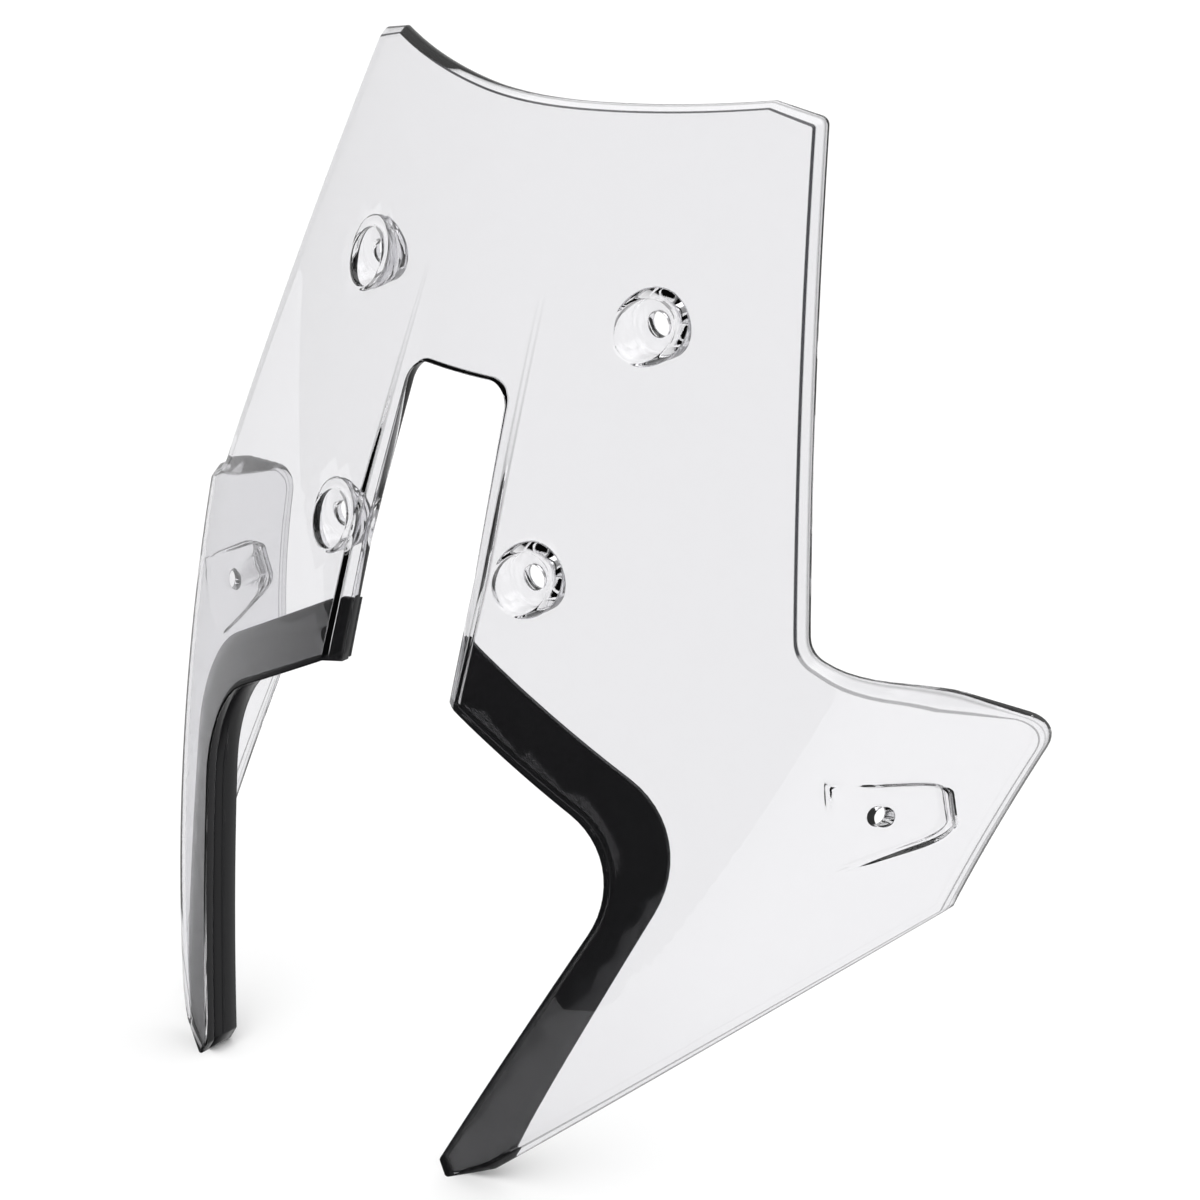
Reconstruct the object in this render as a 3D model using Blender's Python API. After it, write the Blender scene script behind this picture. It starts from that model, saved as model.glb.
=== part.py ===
"""Clear windshield screen for a motorcycle, with a black border moulded behind each leg.

Sizes are in millimetres and the meshes in metres. X runs across the machine, the front faces
-Y and Z is up; the feet stand on z = 0. The mould opens along Y, so every face is a height
field: for each x and z a body has one front depth and one rear depth. Outlines are (x, z)
points of the right-hand half, and the left-hand half mirrors them.
"""
import math

import bmesh
import bpy
from mathutils import Matrix, Vector
from mathutils.geometry import delaunay_2d_cdt, intersect_point_line

MM = 0.001

# Sheet
SHEET_THICKNESS = 4.0
EDGE_FACE = 1.6                 # flat edge left behind the bevel
EDGE_FALL = 1.1                 # how far the bevel falls back per mm of its width
TOP_BEVEL = 2.2
SIDE_BEVEL = 2.8
SHOULDER_BEVEL = 4.2
EAR_BEVEL = 1.0
LOWER_BEVEL = 2.8
LEG_BEVEL = 0.6

# Curvature of the sheet
LEAN_AT_FOOT = 0.27             # lean-back per mm of height, at the feet
LEAN_GROWTH = 0.00026           # what the lean gains with height
PANEL_SWEEP = 0.22              # sweep-back of the side panels at the channel crease
PANEL_BOW = 0.00165             # what the sweep gains with distance from the crease
WING_SWEEP = 2.3                # sweep-back of the two rear wings
WING_FOOT_X = 125.0             # where the wing plane crosses zero depth, at the feet
WING_LEAN = 0.405               # outward lean of the wing plane with height
WING_CURVE = 0.00112            # curvature of that lean
BEND_SIZE = 22.0                # depth over which panel and wing blend
FOOT_LEAD = 110.0               # how far the feet stand in front of zero depth

# Outline of the right-hand half
TOP_HEIGHT = 359.3              # top edge at the centre
LIP_RISE = 6.6                  # the top edge rises this much towards its ends
LIP_HALF_WIDTH = 87.0
TOP_HALF_WIDTH = 104.6          # at the cut-off top corner
CORNER_DROP = 4.3               # top corner below the end of the lip
CORNER_RADIUS = 4.0
SHOULDER_HEIGHT = 193.0
SHOULDER_HALF_WIDTH = 143.6
SHOULDER_RADIUS = 12.0
SHOULDER_BULGE = 9.0            # how far the shoulder bows up and out
SHOULDER_BULGE_RADIUS = 34.0
EAR_HALF_WIDTH = 194.4
EAR_HEIGHT = 154.2
EAR_RADIUS = 16.0
TAIL_INSET = 22.6               # lower corner of the ear, inboard of its tip
TAIL_HEIGHT = 85.0
TAIL_RADIUS = 2.0
FOOT_HALF_SPREAD = 64.0
FOOT_WIDTH = 15.0
FOOT_RISE = 5.0                 # outer corner of the foot above its lowest point
FOOT_TIP_INSET = 3.5
FOOT_TIP_RISE = 6.0             # inner corner of the foot above its lowest point
FOOT_RADIUS = 1.5
LEG_BEND_X = 107.2              # corner that the inner edge of the leg is rounded from
LEG_BEND_HEIGHT = 118.9
LEG_BEND_RADIUS = 31.0

# Centre channel and headlight cut-out
CREASE_HALF_WIDTH = 33.0
CREASE_TAPER = 0.062            # what the crease gains inward per mm above the taper height
CREASE_TAPER_HEIGHT = 202.0
CHANNEL_WALL_WIDTH = 6.0
CHANNEL_TOP = 300.0             # height at which the channel has faded out
CHANNEL_SLOPE = 0.041           # recess gained per mm below that height
CUT_OUT_FOOT_HEIGHT = 159.0
CUT_OUT_TOP_HEIGHT = 267.0
CUT_OUT_RADIUS = 9.0

# Screw cups
UPPER_CUP = (66.5, 291.0)
LOWER_CUP = (47.0, 205.0)
CUP_MOUTH_RADIUS = 10.3
CUP_DRAFT = 0.5
CUP_WALL = 2.0
CUP_FLOOR = 3.5
BOSS_PROUD = 0.8                # boss rim behind the rearmost point of the sheet round it
SCREW_HOLE_RADIUS = 4.6

# Side pads
PAD_FROM_EAR = 29.8             # pad hole, inboard of the ear tip
PAD_BELOW_EAR = 22.8            # pad hole, below the ear tip
PAD_TIP_REACH = 7.5             # the pad's open end, in front of its hole
PAD_REACH = 11.2                # its round end, behind the hole
PAD_RISE = 18.0                 # its open end, above and below the hole
PAD_DROP = 19.0
PAD_REAR_RISE = 8.0             # its round end, above and below the hole
PAD_REAR_DROP = 14.0
PAD_RADIUS = 7.0
PAD_SINK = 4.0                  # depth along Y of the pad at its hole
PAD_TIP_SINK = 0.5              # and at its open end
PAD_WALL = 2.0
PAD_DRAFT = 0.7
PAD_HOLE_RADIUS = 3.8

# Black borders
BORDER_GAP = 0.5
BORDER_LAYER = 1.2
BORDER_SETBACK = 0.4            # border edge inboard of the edge of the sheet
BAND_RISE = 22.0                # top of the band above the foot of the channel crease
BAND_BEND_OUT = 17.0            # rounding corner of the band, outboard of that of the leg
BAND_BEND_RISE = 11.6           # and above it
BAND_BEND_RADIUS = 37.0
BAND_FOOT_OUT = 3.0             # the band meets the lower edge this far beyond the foot
RETURN_DEPTH = 10.0             # return flange behind the sheet
RETURN_THICKNESS = 3.0
RETURN_DRAFT = 0.6
RETURN_TOP_HEIGHT = 132.0
RETURN_RAMP = 6.0               # height over which the flange reaches its depth

# Mesh density
GRID_STEP = 9.0
LOOP_STEP = 8.0
ARC_STEP = math.radians(18.0)
CUP_SEGMENTS = 24
HOLE_SEGMENTS = 16
LIP_PARTS = 12
LINE_CLEARANCE = 0.45           # share of a grid step that free points keep from lines
MERGE_DISTANCE = 1e-5
SHARP_ANGLE = math.radians(22.0)


# ---- Surface of the sheet ------------------------------------------------------------

def crease_x(z):
    return CREASE_HALF_WIDTH - CREASE_TAPER * max(0.0, z - CREASE_TAPER_HEIGHT)


def wall_x(z):
    return crease_x(z) - CHANNEL_WALL_WIDTH


def smooth_max(a, b, size):
    share = min(1.0, max(0.0, 0.5 + 0.5 * (a - b) / size))
    return b + (a - b) * share + size * share * (1.0 - share)


def panel_depth(x, z):
    half = abs(x)
    crease = crease_x(z)
    spine = LEAN_AT_FOOT * z + LEAN_GROWTH * z * z - FOOT_LEAD
    if half < crease:
        return spine + PANEL_SWEEP * (half * half - crease * crease) / (2.0 * crease)
    out = half - crease
    return spine + PANEL_SWEEP * out + PANEL_BOW * out * out


def wing_depth(x, z):
    return WING_SWEEP * (abs(x) - WING_FOOT_X - WING_LEAN * z + WING_CURVE * z * z)


def plain_depth(x, z):
    """Depth of the front face without the channel, the cups and the pads."""
    return smooth_max(panel_depth(x, z), wing_depth(x, z), BEND_SIZE)


def in_bend(x, z):
    """True where panel and wing blend, or nearly so."""
    return abs(panel_depth(x, z) - wing_depth(x, z)) < BEND_SIZE + GRID_STEP


def slant(x, z):
    """Length along Y through a layer for each millimetre of its true thickness."""
    across = plain_depth(x + 0.5, z) - plain_depth(x - 0.5, z)
    up = plain_depth(x, z + 0.5) - plain_depth(x, z - 0.5)
    return math.sqrt(1.0 + across * across + up * up)


def front_depth(x, z):
    recess = max(0.0, CHANNEL_SLOPE * (CHANNEL_TOP - z))
    inward = (crease_x(z) - abs(x)) / CHANNEL_WALL_WIDTH
    return plain_depth(x, z) + recess * min(1.0, max(0.0, inward))


def rear_depth(x, z):
    return front_depth(x, z) + SHEET_THICKNESS * slant(x, z)


# ---- Outlines ------------------------------------------------------------------------

def rounded(corners):
    """Points along an open run with round corners. A corner is (x, z, radius, bevel)."""
    points = []
    for index, (x, z, radius, bevel) in enumerate(corners):
        here = Vector((x, z))
        if index in (0, len(corners) - 1) or radius == 0.0:
            points.append(Vector((x, z, bevel)))
            continue
        back = (Vector(corners[index - 1][:2]) - here).normalized()
        ahead = (Vector(corners[index + 1][:2]) - here).normalized()
        half_angle = back.angle(ahead) / 2.0
        centre = here + (back + ahead).normalized() * (radius / math.sin(half_angle))
        start = here + back * (radius / math.tan(half_angle)) - centre
        turn = math.pi - 2.0 * half_angle
        side = 1.0 if back.x * ahead.y - back.y * ahead.x < 0.0 else -1.0
        steps = max(2, math.ceil(turn / ARC_STEP))
        for step in range(steps + 1):
            spot = centre + Matrix.Rotation(side * turn * step / steps, 2) @ start
            points.append(Vector((spot.x, spot.y, bevel)))
    return points


def spaced(points, step=LOOP_STEP):
    """Adds points so that no straight run is longer than the step."""
    out = [points[0]]
    for start, end in zip(points, points[1:]):
        parts = max(1, math.ceil((end - start).length / step))
        out.extend(start.lerp(end, part / parts) for part in range(1, parts + 1))
    return out


def mirrored(points):
    """The left-hand copy of a run, in reverse order."""
    return [Vector((-point.x, *point[1:])) for point in reversed(points)]


def foot_corner(bevel):
    return (FOOT_HALF_SPREAD + FOOT_WIDTH, FOOT_RISE, FOOT_RADIUS + bevel, bevel)


def outer_run():
    """From the top centre down the right side to the outer corner of the foot."""
    shares = [part / LIP_PARTS for part in range(LIP_PARTS)]
    lip = [(LIP_HALF_WIDTH * share, TOP_HEIGHT + LIP_RISE * share ** 2, 0.0, TOP_BEVEL)
           for share in shares]
    lip_end = TOP_HEIGHT + LIP_RISE
    middle_x = (SHOULDER_HALF_WIDTH + EAR_HALF_WIDTH + SHOULDER_BULGE) / 2.0
    middle_z = (SHOULDER_HEIGHT + EAR_HEIGHT + SHOULDER_BULGE) / 2.0
    return lip + [
        (LIP_HALF_WIDTH, lip_end, CORNER_RADIUS, TOP_BEVEL),
        (TOP_HALF_WIDTH, lip_end - CORNER_DROP, CORNER_RADIUS, SIDE_BEVEL),
        (SHOULDER_HALF_WIDTH, SHOULDER_HEIGHT, SHOULDER_RADIUS, SIDE_BEVEL),
        (middle_x, middle_z, SHOULDER_BULGE_RADIUS, SHOULDER_BEVEL),
        (EAR_HALF_WIDTH, EAR_HEIGHT, EAR_RADIUS, EAR_BEVEL),
        (EAR_HALF_WIDTH - TAIL_INSET, TAIL_HEIGHT, TAIL_RADIUS, EAR_BEVEL),
        foot_corner(LOWER_BEVEL),
    ]


def leg_run():
    """From the lowest point of the foot up the inner edge of the leg to the crease."""
    tip_x = FOOT_HALF_SPREAD - FOOT_TIP_INSET
    return [
        (FOOT_HALF_SPREAD, 0.0, FOOT_RADIUS, LEG_BEVEL),
        (tip_x, FOOT_TIP_RISE, FOOT_RADIUS, LEG_BEVEL),
        (LEG_BEND_X, LEG_BEND_HEIGHT, LEG_BEND_RADIUS, LEG_BEVEL),
        (CREASE_HALF_WIDTH, CUT_OUT_FOOT_HEIGHT, 0.0, LEG_BEVEL),
    ]


def cut_out_run():
    """From the foot of the cut-out up its side to its top centre."""
    return [
        (wall_x(CUT_OUT_FOOT_HEIGHT), CUT_OUT_FOOT_HEIGHT, 0.0, LEG_BEVEL),
        (wall_x(CREASE_TAPER_HEIGHT), CREASE_TAPER_HEIGHT, 0.0, LEG_BEVEL),
        (wall_x(CUT_OUT_TOP_HEIGHT), CUT_OUT_TOP_HEIGHT, CUT_OUT_RADIUS, LEG_BEVEL),
        (0.0, CUT_OUT_TOP_HEIGHT, 0.0, LEG_BEVEL),
    ]


def sheet_outline():
    right = spaced(rounded(outer_run() + leg_run() + cut_out_run()))
    return right + mirrored(right)[1:-1]


def cup_places():
    return [(side * x, z) for x, z in (UPPER_CUP, LOWER_CUP) for side in (1.0, -1.0)]


def pad_centre(side):
    return (side * (EAR_HALF_WIDTH - PAD_FROM_EAR), EAR_HEIGHT - PAD_BELOW_EAR)


def pad_outline(side):
    """Teardrop from the open end round the round end and back."""
    hole_x, hole_z = pad_centre(1.0)
    tip_x = hole_x - PAD_TIP_REACH
    end_x = hole_x + PAD_REACH
    corners = [
        (tip_x, hole_z, 0.0, 0.0),
        (tip_x, hole_z - PAD_DROP, 0.0, 0.0),
        (end_x, hole_z - PAD_REAR_DROP, PAD_RADIUS, 0.0),
        (end_x, hole_z + PAD_REAR_RISE, PAD_RADIUS, 0.0),
        (tip_x, hole_z + PAD_RISE, 0.0, 0.0),
        (tip_x, hole_z, 0.0, 0.0),
    ]
    loop = spaced(rounded(corners), LOOP_STEP / 2.0)[:-1]
    return loop if side > 0.0 else mirrored(loop)


def circle(centre, radius, segments):
    turns = [2.0 * math.pi * step / segments for step in range(segments)]
    return [Vector((centre[0] + radius * math.cos(turn), centre[1] + radius * math.sin(turn)))
            for turn in turns]


def inset(loop, widths):
    """Each corner of a loop moved inward by its own width."""
    points = [point.xy for point in loop]
    area = sum(a.cross(b) for a, b in zip(points, points[1:] + points[:1]))
    side = 1.0 if area > 0.0 else -1.0
    moved = []
    for index, point in enumerate(points):
        before = (point - points[index - 1]).normalized().orthogonal() * side
        after = (points[(index + 1) % len(points)] - point).normalized().orthogonal() * side
        middle = (before + after).normalized()
        moved.append(point + middle * (widths[index] / middle.dot(before)))
    return moved


# ---- Bodies made of two height fields ------------------------------------------------

def inside(point, loop):
    hit = False
    for a, b in zip(loop, loop[1:] + loop[:1]):
        if (a.y > point.y) != (b.y > point.y):
            if point.x < a.x + (b.x - a.x) * (point.y - a.y) / (b.y - a.y):
                hit = not hit
    return hit


def gap_to(point, start, end):
    near, share = intersect_point_line(point, start, end)
    if share < 0.0:
        near = start
    elif share > 1.0:
        near = end
    return (point - near.xy).length


class Face:
    """One face of a body: rings and lines with their depths, filled by a triangle mesh."""

    def __init__(self, depth_of):
        self.depth_of = depth_of
        self.points = []
        self.depths = []
        self.links = []
        self.rings = {}
        self.holes = []

    def add(self, points, depths=None):
        start = len(self.points)
        self.points.extend(point.xy for point in points)
        self.depths.extend(depths or [self.depth_of(point.x, point.y) for point in points])
        return start

    def ring(self, points, depths=None, name=None, hole=False):
        start = self.add(points, depths)
        count = len(points)
        self.links.extend((start + i, start + (i + 1) % count) for i in range(count))
        if name:
            self.rings[name] = range(start, start + count)
        if hole:
            self.holes.append([point.xy for point in points])
        return start

    def line(self, points, first=None):
        start = self.add(points)
        self.links.extend((start + i, start + i + 1) for i in range(len(points) - 1))
        if first is not None:
            self.links.append((first, start))

    def add_grid(self, edge, blanks):
        """Free points clear of all lines and outside the blanks, twice as close in the bend."""
        lines = [(self.points[a], self.points[b]) for a, b in self.links]
        half_width = max(abs(point.x) for point in edge)
        columns = math.ceil(half_width / GRID_STEP) * 2
        rows = int(max(point.y for point in edge) / GRID_STEP) * 2
        free = []
        for row in range(1, rows + 1):
            for column in range(-columns, columns + 1):
                point = Vector((column, row)) * (GRID_STEP / 2.0)
                clearance = GRID_STEP * LINE_CLEARANCE
                if in_bend(*point):
                    clearance /= 2.0
                elif row % 2 or (column + row) % 4:
                    continue
                if not inside(point, edge) or any(inside(point, blank) for blank in blanks):
                    continue
                if all(gap_to(point, a, b) > clearance for a, b in lines):
                    free.append(point)
        self.add(free)

    def triangles(self):
        """Triangles between the outer ring and the holes, as indices of this face's points.

        Where two lines cross, their crossing becomes a new point on the surface.
        """
        inside_outer_ring = 1
        verts, _, faces, origins, _, _ = delaunay_2d_cdt(
            self.points, self.links, [], inside_outer_ring, MERGE_DISTANCE)
        numbers = [origin[0] if origin else self.add([vert])
                   for vert, origin in zip(verts, origins)]
        kept = []
        for face in faces:
            middle = sum((verts[index] for index in face), Vector((0.0, 0.0))) / len(face)
            if not any(inside(middle, hole) for hole in self.holes):
                kept.append([numbers[index] for index in face])
        return kept

    def places(self):
        return [Vector((p.x, depth, p.y)) * MM for p, depth in zip(self.points, self.depths)]


def close_body(name, front, rear, material):
    """Fills both faces, joins them along their shared rings and makes the object."""
    faces = front.triangles()
    shift = len(front.points)
    faces += [[index + shift for index in face] for face in rear.triangles()]
    for ring, front_ring in front.rings.items():
        rear_ring = rear.rings[ring]
        for step in range(len(front_ring)):
            ahead = (step + 1) % len(front_ring)
            near, far = front_ring[step], front_ring[ahead]
            faces.append([near, far, rear_ring[ahead] + shift])
            faces.append([near, rear_ring[ahead] + shift, rear_ring[step] + shift])
    work = bmesh.new()
    verts = [work.verts.new(place) for place in front.places() + rear.places()]
    for face in faces:
        work.faces.new([verts[index] for index in face])
    unused = [vert for vert in work.verts if not vert.link_faces]
    bmesh.ops.delete(work, geom=unused, context="VERTS")
    bmesh.ops.recalc_face_normals(work, faces=work.faces)
    mesh = bpy.data.meshes.new(name)
    work.to_mesh(mesh)
    work.free()
    mesh.shade_smooth()
    mesh.set_sharp_from_angle(angle=SHARP_ANGLE)
    mesh.materials.append(material)
    body = bpy.data.objects.new(name, mesh)
    bpy.context.collection.objects.link(body)
    return body


def channel_line(x_of, side, foot, top):
    steps = math.ceil((top - foot) / LOOP_STEP)
    heights = [foot + (top - foot) * step / steps for step in range(steps + 1)]
    return [Vector((side * x_of(z), z)) for z in heights]


def nearest(points, x, z):
    return min(range(len(points)), key=lambda index: (points[index].xy - Vector((x, z))).length)


# ---- Screen --------------------------------------------------------------------------

def boss_rim(centre):
    """Depth of the flat rear rim of a screw cup."""
    ring = circle(centre, CUP_MOUTH_RADIUS + CUP_WALL, CUP_SEGMENTS)
    return max(rear_depth(point.x, point.y) for point in ring) + BOSS_PROUD


def pad_plane(side):
    """The pad's flat floor as a function: level along Z like the wing, steeper along X."""
    hole_x, hole_z = pad_centre(side)
    lean = (plain_depth(hole_x, hole_z + 1.0) - plain_depth(hole_x, hole_z - 1.0)) / 2.0
    middle = plain_depth(hole_x, hole_z) + PAD_SINK
    tip = plain_depth(hole_x - side * PAD_TIP_REACH, hole_z) + PAD_TIP_SINK
    rise = (middle - tip) / PAD_TIP_REACH

    def depth(x, z):
        return middle + rise * side * (x - hole_x) + lean * (z - hole_z)
    return depth


def add_channel(face, edge_points, first):
    """The crease and the foot of the channel wall. First is the index of an edge ring."""
    arc_start = CUT_OUT_TOP_HEIGHT - CUT_OUT_RADIUS
    for side in (1.0, -1.0):
        crease_foot = nearest(edge_points, side * CREASE_HALF_WIDTH, CUT_OUT_FOOT_HEIGHT)
        wall_foot = nearest(edge_points, side * wall_x(arc_start), arc_start)
        foot = CUT_OUT_FOOT_HEIGHT + LOOP_STEP
        face.line(channel_line(crease_x, side, foot, CHANNEL_TOP), first + crease_foot)
        wall_start = edge_points[wall_foot].y + LOOP_STEP / 2.0
        face.line(channel_line(wall_x, side, wall_start, CHANNEL_TOP), first + wall_foot)


def make_screen(material):
    outline = sheet_outline()
    front = Face(front_depth)
    rear = Face(rear_depth)
    edge_depths = []
    for point in outline:
        through = rear_depth(point.x, point.y) - front_depth(point.x, point.y)
        fall = min(EDGE_FALL * point.z, through - EDGE_FACE)
        edge_depths.append(front_depth(point.x, point.y) + fall)
    bevel = inset(outline, [point.z for point in outline])
    front_edge = front.ring(outline, edge_depths, name="edge")
    front_bevel = front.ring(bevel)
    rear_edge = rear.ring(outline, name="edge")
    front.links.extend((front_edge + index, front_bevel + index)
                       for index in range(len(outline)))
    add_channel(front, bevel, front_bevel)
    add_channel(rear, outline, rear_edge)
    blanks = []
    for number, centre in enumerate(cup_places()):
        rim = boss_rim(centre)
        floor = rim - CUP_FLOOR
        hole = circle(centre, SCREW_HOLE_RADIUS, HOLE_SEGMENTS)
        mouth = circle(centre, CUP_MOUTH_RADIUS, CUP_SEGMENTS)
        inner = circle(centre, CUP_MOUTH_RADIUS - CUP_DRAFT, CUP_SEGMENTS)
        boss = circle(centre, CUP_MOUTH_RADIUS + CUP_WALL, CUP_SEGMENTS)
        root = circle(centre, CUP_MOUTH_RADIUS + CUP_WALL + CUP_DRAFT, CUP_SEGMENTS)
        front.ring(mouth)
        front.ring(inner, [floor] * CUP_SEGMENTS)
        front.ring(hole, [floor] * HOLE_SEGMENTS, name=f"cup {number}", hole=True)
        rear.ring(root)
        rear.ring(boss, [rim] * CUP_SEGMENTS)
        rear.ring(hole, [rim] * HOLE_SEGMENTS, name=f"cup {number}", hole=True)
        blanks.append(root)
    for side in (1.0, -1.0):
        plane = pad_plane(side)
        mouth = pad_outline(side)
        count = len(mouth)
        inner = inset(mouth, [PAD_DRAFT] * count)
        boss = inset(mouth, [-PAD_WALL] * count)
        root = inset(mouth, [-PAD_WALL - PAD_DRAFT] * count)
        hole = circle(pad_centre(side), PAD_HOLE_RADIUS, HOLE_SEGMENTS)
        behind = SHEET_THICKNESS * slant(*pad_centre(side))
        front.ring(mouth)
        front.ring(inner, [plane(p.x, p.y) for p in inner])
        front.ring(hole, [plane(p.x, p.y) for p in hole], name=f"pad {side}", hole=True)
        rear.ring(root)
        rear.ring(boss, [plane(p.x, p.y) + behind for p in boss])
        rear.ring(hole, [plane(p.x, p.y) + behind for p in hole], name=f"pad {side}", hole=True)
        blanks.append(root)
    edge = [point.xy for point in outline]
    for face in (front, rear):
        face.add_grid(edge, blanks)
    return close_body("screen", front, rear, material)


# ---- Black borders -------------------------------------------------------------------

def border_outline():
    """Right-hand border: up the inner edge of the leg, over the top and down the band."""
    tail_x = EAR_HALF_WIDTH - TAIL_INSET
    foot_x = FOOT_HALF_SPREAD + FOOT_WIDTH
    slope = (TAIL_HEIGHT - FOOT_RISE) / (tail_x - foot_x)
    band_top = CUT_OUT_FOOT_HEIGHT + BAND_RISE
    corners = leg_run() + [
        (wall_x(CUT_OUT_FOOT_HEIGHT), CUT_OUT_FOOT_HEIGHT, 0.0, 0.0),
        (wall_x(band_top), band_top, 0.0, 0.0),
        (CREASE_HALF_WIDTH, band_top, 0.0, 0.0),
        (LEG_BEND_X + BAND_BEND_OUT, LEG_BEND_HEIGHT + BAND_BEND_RISE, BAND_BEND_RADIUS, 0.0),
        (foot_x + BAND_FOOT_OUT, FOOT_RISE + BAND_FOOT_OUT * slope, FOOT_RADIUS, 0.0),
        foot_corner(0.0),
        (FOOT_HALF_SPREAD, 0.0, 0.0, 0.0),
    ]
    loop = spaced(rounded(corners), LOOP_STEP / 2.0)[:-1]
    return inset(loop, [BORDER_SETBACK] * len(loop))


def return_share(x, z, leg):
    """How much of the flange's depth a point of the border has, from 0 to 1."""
    point = Vector((abs(x), z))
    distance = min(gap_to(point, a, b) for a, b in zip(leg, leg[1:]))
    across = (RETURN_THICKNESS + BORDER_SETBACK + RETURN_DRAFT - distance) / RETURN_DRAFT
    along = (RETURN_TOP_HEIGHT - z) / RETURN_RAMP
    return min(1.0, max(0.0, across)) * min(1.0, max(0.0, along))


def offset_line(run, distance, top):
    """A line beside the leg's inner edge, on the border's side, up to a given height."""
    moved = []
    for before, here, after in zip(run, run[1:], run[2:]):
        along = (after.xy - before.xy).normalized()
        spot = here.xy + Vector((along.y, -along.x)) * distance
        if spot.y < top and here.y > FOOT_TIP_RISE + LOOP_STEP:
            moved.append(spot)
    return moved


def make_border(name, side, material):
    leg = spaced(rounded(leg_run()))
    leg_2d = [point.xy for point in leg]
    outline = border_outline()

    def front_of(x, z):
        return rear_depth(x, z) + BORDER_GAP * slant(x, z)

    def rear_of(x, z):
        layer = BORDER_LAYER * slant(x, z)
        return front_of(x, z) + layer + RETURN_DEPTH * return_share(x, z, leg_2d)

    front = Face(front_of)
    rear = Face(rear_of)
    lines = [offset_line(leg, RETURN_THICKNESS + BORDER_SETBACK + extra, RETURN_TOP_HEIGHT)
             for extra in (0.0, RETURN_DRAFT)]
    band_top = CUT_OUT_FOOT_HEIGHT + BAND_RISE
    crease = channel_line(crease_x, 1.0, CUT_OUT_FOOT_HEIGHT + LOOP_STEP / 2.0,
                          band_top - LOOP_STEP / 2.0)
    if side < 0.0:
        outline = mirrored(outline)
        lines = [mirrored(line) for line in lines]
        crease = mirrored(crease)
    for face in (front, rear):
        face.ring(outline, name="edge")
        face.line(crease)
    for line in lines:
        rear.line(line)
    for face in (front, rear):
        face.add_grid(outline, [])
    return close_body(name, front, rear, material)


# ---- Materials and assembly ----------------------------------------------------------

def make_material(name, colour, roughness, transmission):
    material = bpy.data.materials.new(name)
    material.use_nodes = True
    shader = material.node_tree.nodes["Principled BSDF"]
    shader.inputs["Base Color"].default_value = (*colour, 1.0)
    shader.inputs["Roughness"].default_value = roughness
    shader.inputs["Metallic"].default_value = 0.0
    shader.inputs["Transmission Weight"].default_value = transmission
    return material


def stand_on_floor(bodies):
    """Puts the middle of the whole part's footprint at the origin, feet on the floor."""
    places = [vert.co for body in bodies for vert in body.data.vertices]
    depths = [place.y for place in places]
    shift = Vector((0.0, -(min(depths) + max(depths)) / 2.0, -min(p.z for p in places)))
    for body in bodies:
        body.data.transform(Matrix.Translation(shift))


def main():
    for item in list(bpy.data.objects):
        bpy.data.objects.remove(item, do_unlink=True)
    bodies = [make_screen(make_material("clear polycarbonate", (0.93, 0.93, 0.94), 0.03, 0.9))]
    for name, side in (("right_border", 1.0), ("left_border", -1.0)):
        black = make_material(f"gloss black {name}", (0.012, 0.012, 0.013), 0.12, 0.0)
        bodies.append(make_border(name, side, black))
    stand_on_floor(bodies)


main()
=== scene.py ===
import math

import bmesh
import bpy
import numpy as np
from mathutils import Matrix, Vector
from mathutils.geometry import delaunay_2d_cdt


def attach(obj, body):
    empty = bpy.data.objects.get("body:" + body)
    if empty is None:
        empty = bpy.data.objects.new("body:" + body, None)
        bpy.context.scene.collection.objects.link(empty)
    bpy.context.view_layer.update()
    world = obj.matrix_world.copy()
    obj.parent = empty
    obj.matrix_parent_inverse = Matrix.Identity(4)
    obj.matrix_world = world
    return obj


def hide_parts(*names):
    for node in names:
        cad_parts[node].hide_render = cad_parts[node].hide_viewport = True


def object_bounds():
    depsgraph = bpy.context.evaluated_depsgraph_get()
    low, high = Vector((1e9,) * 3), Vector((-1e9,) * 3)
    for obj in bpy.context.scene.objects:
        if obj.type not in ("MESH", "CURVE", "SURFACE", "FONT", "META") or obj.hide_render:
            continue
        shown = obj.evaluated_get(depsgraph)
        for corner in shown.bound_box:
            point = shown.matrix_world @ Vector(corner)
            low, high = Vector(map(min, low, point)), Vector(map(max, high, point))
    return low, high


# Looks of the clear windshield screen. The fine meshes follow the CAD's own rules: sizes are
# in millimetres, X runs across the machine, the front faces -Y, and each body is two height
# fields along Y between outlines of (x, z) points. The meshes are made in metres.
MM = 0.001

# Sheet
SHEET_THICKNESS = 4.0
EDGE_FACE = 1.6
EDGE_FALL = 1.1
TOP_BEVEL = 2.2
SIDE_BEVEL = 2.8
SHOULDER_BEVEL = 4.2
EAR_BEVEL = 1.0
LOWER_BEVEL = 2.8
LEG_BEVEL = 0.6

# Curvature
LEAN_AT_FOOT = 0.27
LEAN_GROWTH = 0.00026
PANEL_SWEEP = 0.22
PANEL_BOW = 0.00165
WING_SWEEP = 2.3
WING_FOOT_X = 125.0
WING_LEAN = 0.405
WING_CURVE = 0.00112
BEND_SIZE = 22.0
FOOT_LEAD = 110.0

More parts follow.
